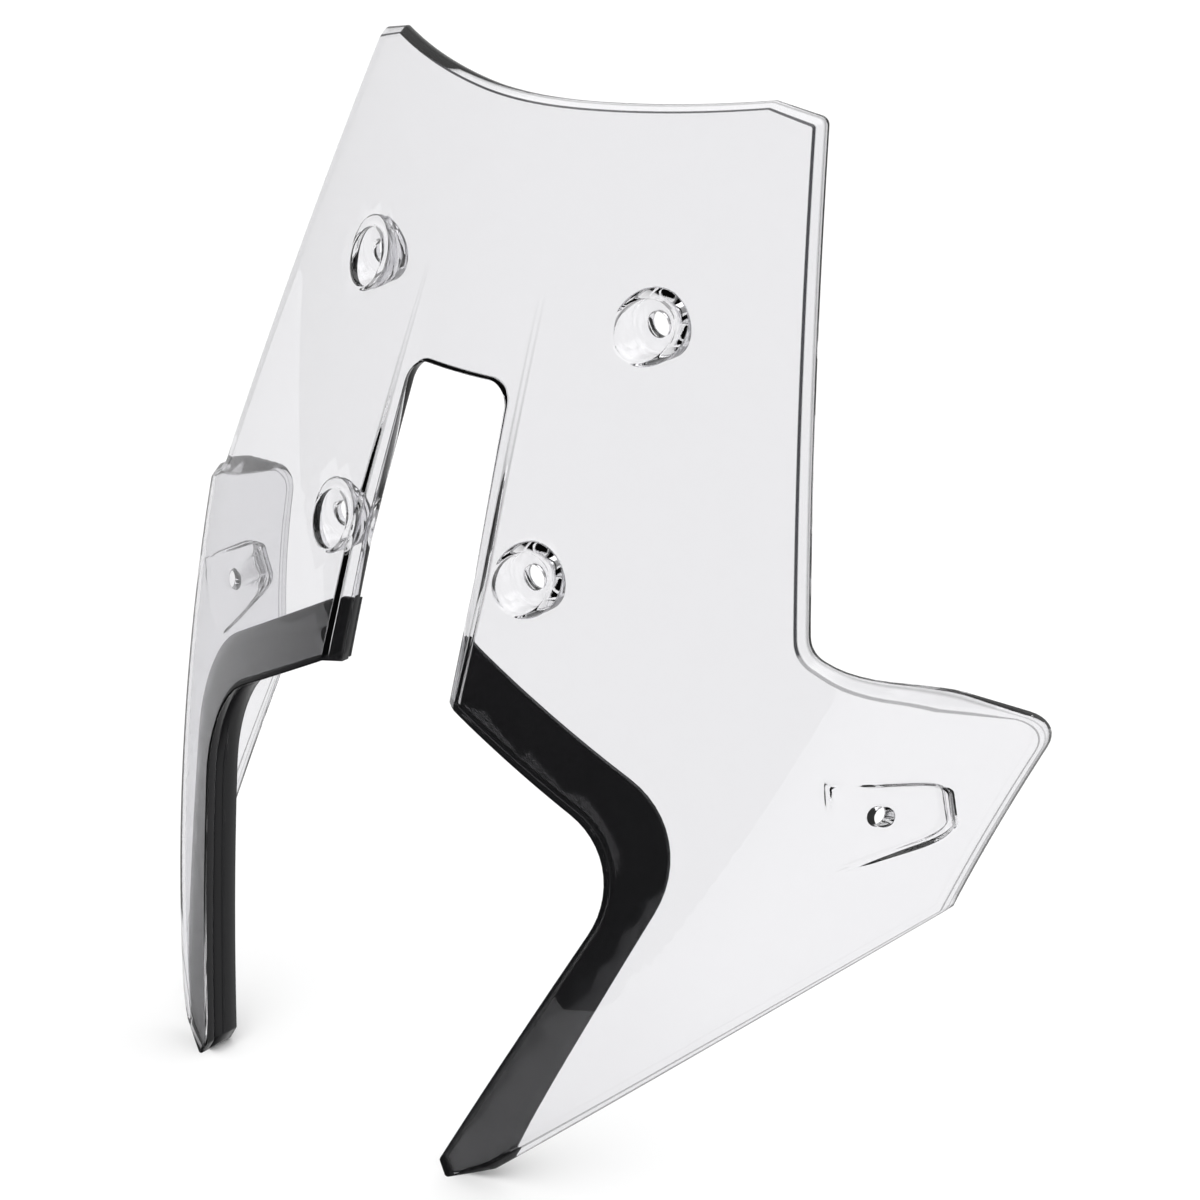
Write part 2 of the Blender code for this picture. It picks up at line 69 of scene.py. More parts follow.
# Outline
TOP_HEIGHT = 359.3
LIP_RISE = 6.6
LIP_HALF_WIDTH = 87.0
TOP_HALF_WIDTH = 104.6
CORNER_DROP = 4.3
CORNER_RADIUS = 4.0
SHOULDER_HEIGHT = 193.0
SHOULDER_HALF_WIDTH = 143.6
SHOULDER_RADIUS = 12.0
SHOULDER_BULGE = 9.0
SHOULDER_BULGE_RADIUS = 34.0
EAR_HALF_WIDTH = 194.4
EAR_HEIGHT = 154.2
EAR_RADIUS = 16.0
TAIL_INSET = 22.6
TAIL_HEIGHT = 85.0
TAIL_RADIUS = 2.0
FOOT_HALF_SPREAD = 64.0
FOOT_WIDTH = 15.0
FOOT_RISE = 5.0
FOOT_TIP_INSET = 3.5
FOOT_TIP_RISE = 6.0
FOOT_RADIUS = 1.5
LEG_BEND_X = 107.2
LEG_BEND_HEIGHT = 118.9
LEG_BEND_RADIUS = 31.0

# Channel and cut-out
CREASE_HALF_WIDTH = 33.0
CREASE_TAPER = 0.062
CREASE_TAPER_HEIGHT = 202.0
CHANNEL_WALL_WIDTH = 6.0
CHANNEL_TOP = 300.0
CHANNEL_SLOPE = 0.041
CREASE_FADE = 60.0
CREASE_SOFTNESS = 0.05          # rounding of crease and wall foot, as a share of the wall
CUT_OUT_FOOT_HEIGHT = 159.0
CUT_OUT_TOP_HEIGHT = 267.0
CUT_OUT_RADIUS = 9.0

# Screw cups
UPPER_CUP = (66.5, 291.0)
LOWER_CUP = (47.0, 205.0)
CUP_MOUTH_RADIUS = 10.3
CUP_WALL = 2.0
CUP_FLOOR = 3.5
BOSS_PROUD = 0.8
SCREW_HOLE_RADIUS = 4.6

# Side pads
PAD_FROM_EAR = 29.8
PAD_BELOW_EAR = 22.8
PAD_TIP_REACH = 7.5
PAD_REACH = 11.2
PAD_RISE = 18.0
PAD_DROP = 19.0
PAD_REAR_RISE = 8.0
PAD_REAR_DROP = 14.0
PAD_RADIUS = 7.0
PAD_SINK = 4.0
PAD_TIP_SINK = 0.1
PAD_HOLE_RADIUS = 4.2

# Black borders
BORDER_GAP = 0.5
BORDER_LAYER = 1.2
BORDER_SETBACK = 0.4
BORDER_ROUNDING = 0.3
BAND_RISE = 22.0
BAND_BEND_OUT = 17.0
BAND_BEND_RISE = 11.6
BAND_BEND_RADIUS = 37.0
BAND_FOOT_OUT = 3.0
RETURN_DEPTH = 10.0
RETURN_THICKNESS = 3.0
RETURN_DRAFT = 0.6
RETURN_TOP_HEIGHT = 132.0
RETURN_RAMP = 6.0

# Mesh density
GRID_STEP = 4.5
LOOP_STEP = 4.0
ARC_STEP = math.radians(7.0)
CUP_SEGMENTS = 96
LIP_PARTS = 24
LINE_CLEARANCE = 0.45           # gap between a free point and a line, in grid steps
MERGE_DISTANCE = 1e-5
NO_LENGTH = 1e-12               # keeps a segment without length from dividing by zero
PAINTED_SHADE_NAME = "painted_edge_shade"

# Dark lines along the rims and the channel's creases are painted shade in the base colour.
# Rounding profiles. A shade, from 0 to 1, is how much painted shade darkens the clear plastic
# there.
# A bevel step is (share of the bevel's width, extra depth, painted shade).
BEVEL_STEPS = ((0.0, 0.35, 0.12), (0.12, 0.08, 0.8), (0.26, 0.0, 0.04), (0.72, 0.0, 0.04),
               (0.80, 0.0, 1.0), (1.0, 0.0, 1.0), (1.08, 0.0, 0.0), (1.25, 0.0, 0.0))
BEVEL_SOFTNESS = 0.06
BEVEL_MIDDLE = 0.5              # past this share a ring keeps its distance from the foot
# A rear edge step is (width, extra depth, painted shade).
REAR_EDGE_STEPS = ((0.0, -0.35, 0.12), (0.22, -0.06, 0.6), (0.6, 0.0, 0.0), (1.4, 0.0, 0.0))
PAINT_REACH = 1.35              # width of the black paint on the rear, along the leg's edge
LOWER_SHADE = 0.75              # painted edge shade below the shoulder, as a share of that above it
SQUARE_START = 1.2              # a rear edge is set in only by what is more than this
SQUARE_REACH = 4.0              # set-in at which the edge has lost its whole height
SHORTEST_EDGE = 0.12            # but the edge keeps at least this share of it
SQUARE_SMOOTHING = 3
# A crease step is (share of the wall's width, painted shade).
CREASE_STEPS = ((-0.12, 0.0), (-0.04, 0.5), (0.0, 0.6), (0.04, 0.5), (0.12, 0.0))
# A cup step is (distance outside the mouth, share of the way to the floor, extra depth).
CUP_FRONT_STEPS = ((0.9, 0.0, 0.0), (0.25, 0.0, 0.06), (0.0, 0.0, 0.3), (-0.12, 0.1, 0.0),
                   (-0.3, 0.5, 0.0), (-0.48, 0.93, 0.0), (-0.8, 1.0, -0.1), (-1.4, 1.0, 0.0))
CUP_REAR_STEPS = ((0.8, 0.0, 0.0), (0.5, 0.0, 0.1), (0.3, 0.25, 0.0), (0.2, 0.7, 0.0),
                  (0.0, 1.0, -0.15), (-0.4, 1.0, 0.0))
# A hole step is (distance outside the hole, extra depth).
HOLE_STEPS = ((0.6, 0.0), (0.12, 0.1), (0.0, 0.4))
# A pad step is (distance outside the mouth, share of the way to the floor).
PAD_STEPS = ((0.9, 0.0), (0.3, 0.04), (-0.1, 0.2), (-0.5, 0.55), (-0.9, 0.9), (-1.4, 1.0))

# Finishes
CLEAR_COLOUR = (0.845, 0.842, 0.86, 1.0)
CLEAR_IOR = 1.58
# Colour of the painted shade lines along the clear plastic's rims and creases.
PAINTED_SHADE_COLOUR = (0.004, 0.004, 0.005, 1.0)
BLACK_COLOUR = (0.010, 0.010, 0.011, 1.0)
BLACK_IOR = 1.5
BLACK_ROUGHNESS = (0.05, 0.12)
FLOOR_COLOUR = (0.93, 0.93, 0.93, 1.0)

# Camera and studio, in the frame's metres
CAMERA_AZIMUTH = math.radians(40.95)
CAMERA_ELEVATION = math.radians(22.97)
CAMERA_DISTANCE = 1.2267
CAMERA_LENS = 96.0
TARGET_HEIGHT = 0.1546
TARGET_BEHIND_MIDDLE = 0.0657
FLOOR_REACH = 12.0
FLOOR_DROP = 0.0003
OVERHEAD = (0.0, 0.2, 1.0)
OVERHEAD_FADE = (0.60, 0.80)    # cosines of the angles between which the soft box fades in
IN_FRONT = (-0.10, -0.90, -0.40)
IN_FRONT_FADE = (-0.10, 0.70)
SOFT_BOX = 2.05
DARK_ROOM = 0.04
WALLS = 0.50


# ---- Surface of the sheet ------------------------------------------------------------

def crease_x(z):
    return CREASE_HALF_WIDTH - CREASE_TAPER * max(0.0, z - CREASE_TAPER_HEIGHT)


def wall_x(z):
    return crease_x(z) - CHANNEL_WALL_WIDTH


def smooth_max(a, b, size):
    share = min(1.0, max(0.0, 0.5 + 0.5 * (a - b) / size))
    return b + (a - b) * share + size * share * (1.0 - share)


def ramp(value, softness):
    """Zero below zero and the value above it, rounded in between."""
    return (value + math.hypot(value, softness)) / 2.0


def panel_depth(x, z):
    half = abs(x)
    crease = crease_x(z)
    spine = LEAN_AT_FOOT * z + LEAN_GROWTH * z * z - FOOT_LEAD
    if half < crease:
        return spine + PANEL_SWEEP * (half * half - crease * crease) / (2.0 * crease)
    out = half - crease
    return spine + PANEL_SWEEP * out + PANEL_BOW * out * out


def wing_depth(x, z):
    return WING_SWEEP * (abs(x) - WING_FOOT_X - WING_LEAN * z + WING_CURVE * z * z)


def plain_depth(x, z):
    """Depth of the front face without the channel, the cups and the pads."""
    return smooth_max(panel_depth(x, z), wing_depth(x, z), BEND_SIZE)


def in_bend(x, z):
    return abs(panel_depth(x, z) - wing_depth(x, z)) < BEND_SIZE + GRID_STEP


def slant(x, z):
    """Length along Y through a layer for each millimetre of its true thickness."""
    across = plain_depth(x + 0.5, z) - plain_depth(x - 0.5, z)
    up = plain_depth(x, z + 0.5) - plain_depth(x, z - 0.5)
    return math.sqrt(1.0 + across * across + up * up)


def front_depth(x, z):
    recess = CHANNEL_SLOPE * ramp(CHANNEL_TOP - z, LOOP_STEP)
    inward = (crease_x(z) - abs(x)) / CHANNEL_WALL_WIDTH
    share = ramp(inward, CREASE_SOFTNESS) - ramp(inward - 1.0, CREASE_SOFTNESS)
    return plain_depth(x, z) + recess * share


def rear_depth(x, z):
    return front_depth(x, z) + SHEET_THICKNESS * slant(x, z)


# ---- Outlines ------------------------------------------------------------------------

def rounded(corners):
    """Points along an open run with round corners. A corner is (x, z, radius, bevel)."""
    points = []
    for index, (x, z, radius, bevel) in enumerate(corners):
        here = Vector((x, z))
        if index in (0, len(corners) - 1) or radius == 0.0:
            points.append(Vector((x, z, bevel)))
            continue
        back = (Vector(corners[index - 1][:2]) - here).normalized()
        ahead = (Vector(corners[index + 1][:2]) - here).normalized()
        half_angle = back.angle(ahead) / 2.0
        centre = here + (back + ahead).normalized() * (radius / math.sin(half_angle))
        start = here + back * (radius / math.tan(half_angle)) - centre
        turn = math.pi - 2.0 * half_angle
        side = 1.0 if back.x * ahead.y - back.y * ahead.x < 0.0 else -1.0
        steps = max(2, math.ceil(turn / ARC_STEP))
        for step in range(steps + 1):
            spot = centre + Matrix.Rotation(side * turn * step / steps, 2) @ start
            points.append(Vector((spot.x, spot.y, bevel)))
    return points


def spaced(points, step=LOOP_STEP):
    """Adds points so that no straight run is longer than the step."""
    out = [points[0]]
    for start, end in zip(points, points[1:]):
        parts = max(1, math.ceil((end - start).length / step))
        out.extend(start.lerp(end, part / parts) for part in range(1, parts + 1))
    return out


def mirrored(points):
    return [Vector((-point.x, *point[1:])) for point in reversed(points)]


def foot_corner(bevel):
    return (FOOT_HALF_SPREAD + FOOT_WIDTH, FOOT_RISE, FOOT_RADIUS + bevel, bevel)


def outer_run():
    """From the top centre down the right side to the outer corner of the foot."""
    lip = [(LIP_HALF_WIDTH * part / LIP_PARTS, TOP_HEIGHT + LIP_RISE * (part / LIP_PARTS) ** 2,
            0.0, TOP_BEVEL) for part in range(LIP_PARTS)]
    lip_end = TOP_HEIGHT + LIP_RISE
    middle_x = (SHOULDER_HALF_WIDTH + EAR_HALF_WIDTH + SHOULDER_BULGE) / 2.0
    middle_z = (SHOULDER_HEIGHT + EAR_HEIGHT + SHOULDER_BULGE) / 2.0
    return lip + [
        (LIP_HALF_WIDTH, lip_end, CORNER_RADIUS, TOP_BEVEL),
        (TOP_HALF_WIDTH, lip_end - CORNER_DROP, CORNER_RADIUS, SIDE_BEVEL),
        (SHOULDER_HALF_WIDTH, SHOULDER_HEIGHT, SHOULDER_RADIUS, SIDE_BEVEL),
        (middle_x, middle_z, SHOULDER_BULGE_RADIUS, SHOULDER_BEVEL),
        (EAR_HALF_WIDTH, EAR_HEIGHT, EAR_RADIUS, EAR_BEVEL),
        (EAR_HALF_WIDTH - TAIL_INSET, TAIL_HEIGHT, TAIL_RADIUS, EAR_BEVEL),
        foot_corner(LOWER_BEVEL),
    ]


def leg_run():
    """From the lowest point of the foot up the inner edge of the leg to the crease."""
    tip_x = FOOT_HALF_SPREAD - FOOT_TIP_INSET
    return [
        (FOOT_HALF_SPREAD, 0.0, FOOT_RADIUS, LEG_BEVEL),
        (tip_x, FOOT_TIP_RISE, FOOT_RADIUS, LEG_BEVEL),
        (LEG_BEND_X, LEG_BEND_HEIGHT, LEG_BEND_RADIUS, LEG_BEVEL),
        (CREASE_HALF_WIDTH, CUT_OUT_FOOT_HEIGHT, 0.0, LEG_BEVEL),
    ]


def cut_out_run():
    """From the foot of the cut-out up its side to its top centre."""
    return [
        (wall_x(CUT_OUT_FOOT_HEIGHT), CUT_OUT_FOOT_HEIGHT, 0.0, LEG_BEVEL),
        (wall_x(CREASE_TAPER_HEIGHT), CREASE_TAPER_HEIGHT, 0.0, LEG_BEVEL),
        (wall_x(CUT_OUT_TOP_HEIGHT), CUT_OUT_TOP_HEIGHT, CUT_OUT_RADIUS, LEG_BEVEL),
        (0.0, CUT_OUT_TOP_HEIGHT, 0.0, LEG_BEVEL),
    ]


def sheet_outline():
    right = spaced(rounded(outer_run() + leg_run() + cut_out_run()))
    return right + mirrored(right)[1:-1]


def border_outline():
    """Right-hand border: up the inner edge of the leg, over the top and down the band."""
    tail_x = EAR_HALF_WIDTH - TAIL_INSET
    foot_x = FOOT_HALF_SPREAD + FOOT_WIDTH
    slope = (TAIL_HEIGHT - FOOT_RISE) / (tail_x - foot_x)
    band_top = CUT_OUT_FOOT_HEIGHT + BAND_RISE
    corners = leg_run() + [
        (wall_x(CUT_OUT_FOOT_HEIGHT), CUT_OUT_FOOT_HEIGHT, 0.0, 0.0),
        (wall_x(band_top), band_top, 0.0, 0.0),
        (CREASE_HALF_WIDTH, band_top, 0.0, 0.0),
        (LEG_BEND_X + BAND_BEND_OUT, LEG_BEND_HEIGHT + BAND_BEND_RISE, BAND_BEND_RADIUS, 0.0),
        (foot_x + BAND_FOOT_OUT, FOOT_RISE + BAND_FOOT_OUT * slope, FOOT_RADIUS, 0.0),
        foot_corner(0.0),
        (FOOT_HALF_SPREAD, 0.0, 0.0, 0.0),
    ]
    loop = spaced(rounded(corners), LOOP_STEP / 2.0)[:-1]
    return inset(loop, [BORDER_SETBACK] * len(loop))


def cup_places():
    return [(side * x, z) for x, z in (UPPER_CUP, LOWER_CUP) for side in (1.0, -1.0)]


def pad_centre(side):
    return (side * (EAR_HALF_WIDTH - PAD_FROM_EAR), EAR_HEIGHT - PAD_BELOW_EAR)


def pad_outline(side):
    hole_x, hole_z = pad_centre(1.0)
    tip_x = hole_x - PAD_TIP_REACH
    end_x = hole_x + PAD_REACH
    corners = [
        (tip_x, hole_z, 0.0, 0.0),
        (tip_x, hole_z - PAD_DROP, 0.0, 0.0),
        (end_x, hole_z - PAD_REAR_DROP, PAD_RADIUS, 0.0),
        (end_x, hole_z + PAD_REAR_RISE, PAD_RADIUS, 0.0),
        (tip_x, hole_z + PAD_RISE, 0.0, 0.0),
        (tip_x, hole_z, 0.0, 0.0),
    ]
    loop = spaced(rounded(corners), LOOP_STEP / 2.0)[:-1]
    return loop if side > 0.0 else mirrored(loop)


def circle(centre, radius, segments=CUP_SEGMENTS):
    turns = [2.0 * math.pi * step / segments for step in range(segments)]
    return [Vector((centre[0] + radius * math.cos(turn), centre[1] + radius * math.sin(turn)))
            for turn in turns]


def inset(loop, widths):
    """Each corner of a loop moved inward by its own width."""
    points = [point.xy for point in loop]
    area = sum(a.cross(b) for a, b in zip(points, points[1:] + points[:1]))
    side = 1.0 if area > 0.0 else -1.0
    moved = []
    for index, point in enumerate(points):
        before = (point - points[index - 1]).normalized().orthogonal() * side
        after = (points[(index + 1) % len(points)] - point).normalized().orthogonal() * side
        middle = (before + after).normalized()
        moved.append(point + middle * (widths[index] / middle.dot(before)))
    return moved


# ---- Bodies made of two height fields ------------------------------------------------

def inside(points, loop):
    """For each row of an array of points, whether it lies inside the loop."""
    x, z = points[:, 0], points[:, 1]
    hit = np.zeros(len(points), bool)
    for a, b in zip(loop, loop[1:] + loop[:1]):
        if a.y != b.y:
            crosses = (a.y > z) != (b.y > z)
            hit ^= crosses & (x < a.x + (b.x - a.x) * (z - a.y) / (b.y - a.y))
    return hit


def distances(points, segments):
    """For each row of an array of points, the distance to the nearest segment."""
    best = np.full(len(points), np.inf)
    for start, end in segments:
        start = np.array(start)
        along = np.array(end) - start
        share = np.clip((points - start) @ along / max(along @ along, NO_LENGTH), 0.0, 1.0)
        gaps = points - start - share[:, None] * along
        best = np.minimum(best, np.hypot(gaps[:, 0], gaps[:, 1]))
    return best


class Face:
    """One face of a body: rings and lines with their depths, filled by a triangle mesh."""

    def __init__(self, depth_of):
        self.depth_of = depth_of
        self.points = []
        self.depths = []
        self.shades = []
        self.links = []
        self.rings = {}
        self.holes = []

    def add(self, points, depths=None, shades=None):
        start = len(self.points)
        self.shades.extend(shades or [0.0] * len(points))
        self.points.extend(point.xy for point in points)
        self.depths.extend(depths or [self.depth_of(point.x, point.y) for point in points])
        return start

    def ring(self, points, depths=None, name=None, hole=False, shades=None):
        start = self.add(points, depths, shades)
        count = len(points)
        self.links.extend((start + i, start + (i + 1) % count) for i in range(count))
        if name:
            self.rings[name] = range(start, start + count)
        if hole:
            self.holes.append([point.xy for point in points])

    def line(self, points, shades=None):
        start = self.add(points, shades=shades)
        self.links.extend((start + i, start + i + 1) for i in range(len(points) - 1))

    def add_grid(self, edge, blanks):
        """Free points clear of all lines and outside the blanks, twice as close in the bend."""
        half_step = GRID_STEP / 2.0
        columns = math.ceil(max(abs(point.x) for point in edge) / half_step)
        rows = math.ceil(max(point.y for point in edge) / half_step)
        spots = []
        clearances = []
        for row in range(1, rows + 1):
            for column in range(-columns, columns + 1):
                x, z = column * half_step, row * half_step
                bend = in_bend(x, z)
                if bend or not (row % 2 or (column + row) % 4):
                    spots.append((x, z))
                    clearances.append(GRID_STEP * LINE_CLEARANCE / (2.0 if bend else 1.0))
        spots = np.array(spots)
        keep = inside(spots, [point.xy for point in edge])
        for blank in blanks:
            keep &= ~inside(spots, blank)
        spots = spots[keep]
        lines = [(self.points[a], self.points[b]) for a, b in self.links]
        spots = spots[distances(spots, lines) > np.array(clearances)[keep]]
        self.add([Vector(spot) for spot in spots])

    def triangles(self):
        inside_outer_ring = 1
        verts, _, faces, origins, _, _ = delaunay_2d_cdt(
            self.points, self.links, [], inside_outer_ring, MERGE_DISTANCE)
        numbers = [origin[0] if origin else self.add([vert])
                   for vert, origin in zip(verts, origins)]
        middles = np.array([np.mean([verts[index] for index in face], axis=0) for face in faces])
        empty = np.zeros(len(faces), bool)
        for hole in self.holes:
            empty |= inside(middles, hole)
        return [[numbers[index] for index in face]
                for face, gone in zip(faces, empty) if not gone]

    def places(self):
        return [Vector((p.x, depth, p.y)) * MM for p, depth in zip(self.points, self.depths)]


def close_body(name, front, rear, paint_lines=()):
    """Fills both faces, joins them along their shared rings and makes the object.

    Edge and rear faces close to a paint line get the second material. Paint lines are given
    for the right half only, and the faces of the left half are compared in the mirror.
    """
    faces = front.triangles()
    front_count = len(faces)
    shift = len(front.points)
    faces += [[index + shift for index in face] for face in rear.triangles()]
    for ring, front_ring in front.rings.items():
        rear_ring = rear.rings[ring]
        for step in range(len(front_ring)):
            ahead = (step + 1) % len(front_ring)
            near, far = front_ring[step], front_ring[ahead]
            faces.append([near, far, rear_ring[ahead] + shift, rear_ring[step] + shift])
    spots = np.abs(np.array([tuple(point) for point in front.points + rear.points]))
    middles = np.array([spots[face].mean(axis=0) for face in faces[front_count:]])
    slots = [0] * front_count
    slots += (distances(middles, paint_lines) < PAINT_REACH).astype(int).tolist()
    work = bmesh.new()
    shade_layer = work.verts.layers.float.new(PAINTED_SHADE_NAME)
    verts = [work.verts.new(place) for place in front.places() + rear.places()]
    for vert, shade in zip(verts, front.shades + rear.shades):
        vert[shade_layer] = shade
    for face, slot in zip(faces, slots):
        work.faces.new([verts[index] for index in face]).material_index = slot
    unused = [vert for vert in work.verts if not vert.link_faces]
    bmesh.ops.delete(work, geom=unused, context="VERTS")
    bmesh.ops.recalc_face_normals(work, faces=work.faces)
    mesh = bpy.data.meshes.new(name)
    work.to_mesh(mesh)
    work.free()
    mesh.shade_smooth()
    body = bpy.data.objects.new(name, mesh)
    bpy.context.scene.collection.objects.link(body)
    return body


def channel_line(share, side, foot, top):
    """A line up the channel's wall, at a share of the way in from crease to wall foot."""
    steps = math.ceil((top - foot) / LOOP_STEP)
    heights = [foot + (top - foot) * step / steps for step in range(steps + 1)]
    return [Vector((side * (crease_x(z) - share * CHANNEL_WALL_WIDTH), z)) for z in heights]


# ---- Screen --------------------------------------------------------------------------

def add_channel(face):
    clear_of_edge = 2.0 * LEG_BEVEL
    foot = CUT_OUT_FOOT_HEIGHT + clear_of_edge
    wall_foot = CUT_OUT_TOP_HEIGHT - CUT_OUT_RADIUS / 4.0
    for side in (1.0, -1.0):
        for share, shade in CREASE_STEPS:
            crease = channel_line(share, side, foot, CHANNEL_TOP)
            # Painted shade along the crease lines, fading out towards the channel's top.
            face.line(crease, [shade * min(1.0, (CHANNEL_TOP - point.y) / CREASE_FADE)
                               for point in crease])
            face.line(channel_line(1.0 + share, side, wall_foot, CHANNEL_TOP))


def bevel_shares(share, outline):
    """How far in a bevel ring lies at each edge point, as a share of the bevel's width."""
    if not BEVEL_MIDDLE < share < 1.0:
        return [share] * len(outline)
    return [max(share, 1.0 - (1.0 - share) * SIDE_BEVEL / point.z) for point in outline]


def add_edges(front, rear):
    """The rings along the sheet's edge: the bevel in front and the edge's own ring behind."""
    outline = sheet_outline()
    falls = []
    for point in outline:
        through = rear_depth(point.x, point.y) - front_depth(point.x, point.y)
        falls.append(min(EDGE_FALL * point.z, through - EDGE_FACE))
    for share, extra, shade in BEVEL_STEPS:
        shares = bevel_shares(share, outline)
        ring = inset(outline, [here * point.z for here, point in zip(shares, outline)])
        depths = [front_depth(p.x, p.y) + fall * ramp(1.0 - here, BEVEL_SOFTNESS) + extra
                  for p, fall, here in zip(ring, falls, shares)]
        # Painted shade lines along the rim, weaker below the shoulder.
        shades = [shade * (1.0 if p.y > SHOULDER_HEIGHT else LOWER_SHADE) for p in ring]
        front.ring(ring, depths, name="edge" if share == 0.0 else None, shades=shades)
    front_edge = [front.depths[index] for index in front.rings["edge"]]
    square = square_widths(outline)
    # The rear edge rings carry painted shade lines too.
    for width, extra, shade in REAR_EDGE_STEPS:
        at_edge = width == 0.0
        ring = inset(outline, [0.0 if at_edge else width + set_in for set_in in square])
        depths = [rear_depth(p.x, p.y) + extra for p in ring]
        if at_edge:
            depths = [near + (far - near) * max(SHORTEST_EDGE, 1.0 - set_in / SQUARE_REACH)
                      for near, far, set_in in zip(front_edge, depths, square)]
        rear.ring(ring, depths, name="edge" if at_edge else None, shades=[shade] * len(ring))
    return outline


def square_widths(outline):
    """How far in the rear face starts at each edge point, for an edge square to the sheet."""
    points = [point.xy for point in outline]
    widths = []
    for index, point in enumerate(points):
        along = points[(index + 1) % len(points)] - points[index - 1]
        outward = Vector((-along.y, along.x)).normalized()
        ahead = plain_depth(*(point + outward / 2.0)) - plain_depth(*(point - outward / 2.0))
        widths.append(max(0.0, SHEET_THICKNESS * ahead / slant(*point) - SQUARE_START))
    for _ in range(SQUARE_SMOOTHING):
        widths = [(widths[index - 1] + widths[index] + widths[(index + 1) % len(widths)]) / 3.0
                  for index in range(len(widths))]
    return widths


def add_cup(front, rear, name, centre):
    """A cup sunk into the front face, with a flat-rimmed boss behind it."""
    boss_radius = CUP_MOUTH_RADIUS + CUP_WALL
    rim = max(rear_depth(p.x, p.y) for p in circle(centre, boss_radius)) + BOSS_PROUD
    floor = rim - CUP_FLOOR
    for face, radius, bottom, steps in ((front, CUP_MOUTH_RADIUS, floor, CUP_FRONT_STEPS),
                                        (rear, boss_radius, rim, CUP_REAR_STEPS)):
        for outside, share, extra in steps:
            ring = circle(centre, radius + outside)
            surface = [face.depth_of(p.x, p.y) for p in ring]
            face.ring(ring, [depth + (bottom - depth) * share + extra for depth in surface])
    for outside, extra in HOLE_STEPS:
        ring = circle(centre, SCREW_HOLE_RADIUS + outside)
        last = outside == 0.0
        front.ring(ring, [floor + extra] * CUP_SEGMENTS, name if last else None, last)
        rear.ring(ring, [rim - extra] * CUP_SEGMENTS, name if last else None, last)
    return circle(centre, boss_radius + CUP_REAR_STEPS[0][0])


def pad_plane(side):
    """The pad's flat floor as a function, and its two slopes: along X and along Z."""
    hole_x, hole_z = pad_centre(side)
    lean = (plain_depth(hole_x, hole_z + 1.0) - plain_depth(hole_x, hole_z - 1.0)) / 2.0
    middle = plain_depth(hole_x, hole_z) + PAD_SINK
    tip = plain_depth(hole_x - side * PAD_TIP_REACH, hole_z) + PAD_TIP_SINK
    rise = side * (middle - tip) / PAD_TIP_REACH

    def depth(x, z):
        return middle + rise * (x - hole_x) + lean * (z - hole_z)
    return depth, rise, lean


def pad_shift(side, through):
    """The way square through the pad, in X and Z. Through is 0 on the front, 1 on the rear."""
    _, rise, lean = pad_plane(side)
    return Vector((rise, lean)) * (-through * SHEET_THICKNESS / math.hypot(1.0, rise, lean))


def pad_hole_ring(side, outside, through):
    """A round hole square to the pad's floor."""
    middle = Vector(pad_centre(side)) + pad_shift(side, through)
    squash = math.hypot(1.0, pad_plane(side)[1])
    ring = circle((0.0, 0.0), PAD_HOLE_RADIUS + outside)
    return [middle + Vector((p.x / squash, p.y)) for p in ring]


def add_pad(front, rear, name, side):
    """A teardrop recess in the wing, open at its front end, with a hole and a backing."""
    plane, _, _ = pad_plane(side)
    mouth = pad_outline(side)
    behind = SHEET_THICKNESS * slant(*pad_centre(side))
    for face, through in ((front, 0.0), (rear, 1.0)):
        extra = behind * through
        for outside, share in PAD_STEPS:
            ring = inset(mouth, [-outside] * len(mouth))
            ring = [point + pad_shift(side, through) for point in ring]
            depths = []
            for p in ring:
                surface = face.depth_of(p.x, p.y)
                depths.append(surface + (plane(p.x, p.y) + extra - surface) * share)
            face.ring(ring, depths)
    for outside, sink in HOLE_STEPS:
        last = outside == 0.0
        for face, through in ((front, 0.0), (rear, 1.0)):
            ring = pad_hole_ring(side, outside, through)
            depths = [plane(p.x, p.y) + sink + (behind - 2.0 * sink) * through for p in ring]
            face.ring(ring, depths, name if last else None, last)
    blank = inset(mouth, [-PAD_STEPS[0][0]] * len(mouth))
    return [blank, [point + pad_shift(side, 1.0) for point in blank]]


def make_screen():
    front = Face(front_depth)
    rear = Face(rear_depth)
    outline = add_edges(front, rear)
    for face in (front, rear):
        add_channel(face)
    blanks = [add_cup(front, rear, f"cup {number}", centre)
              for number, centre in enumerate(cup_places())]
    for side in (1.0, -1.0):
        blanks += add_pad(front, rear, f"pad {side}", side)
    for face in (front, rear):
        face.add_grid(outline, blanks)
    band_top = CUT_OUT_FOOT_HEIGHT + BAND_RISE
    run = [point.xy for point in spaced(rounded(leg_run() + cut_out_run()), 1.0)]
    paint_lines = [(a, b) for a, b in zip(run, run[1:]) if b.y < band_top and b.x > 0.0]
    return close_body("clear_screen", front, rear, paint_lines)


# ---- Black borders -------------------------------------------------------------------

def return_share(x, z, leg):
    """How much of the flange's depth a point of the border has, from 0 to 1."""
    distance = distances(np.array([[abs(x), z]]), leg)[0]
    across = (RETURN_THICKNESS + BORDER_SETBACK + RETURN_DRAFT - distance) / RETURN_DRAFT
    along = (RETURN_TOP_HEIGHT - z) / RETURN_RAMP
    return min(1.0, max(0.0, across)) * min(1.0, max(0.0, along))


def offset_line(run, distance, top):
    """A line beside the leg's inner edge, on the border's side, up to a given height."""
    moved = []
    for before, here, after in zip(run, run[1:], run[2:]):
        along = (after.xy - before.xy).normalized()
        spot = here.xy + Vector((along.y, -along.x)) * distance
        if spot.y < top and here.y > FOOT_TIP_RISE + LOOP_STEP:
            moved.append(spot)
    return moved


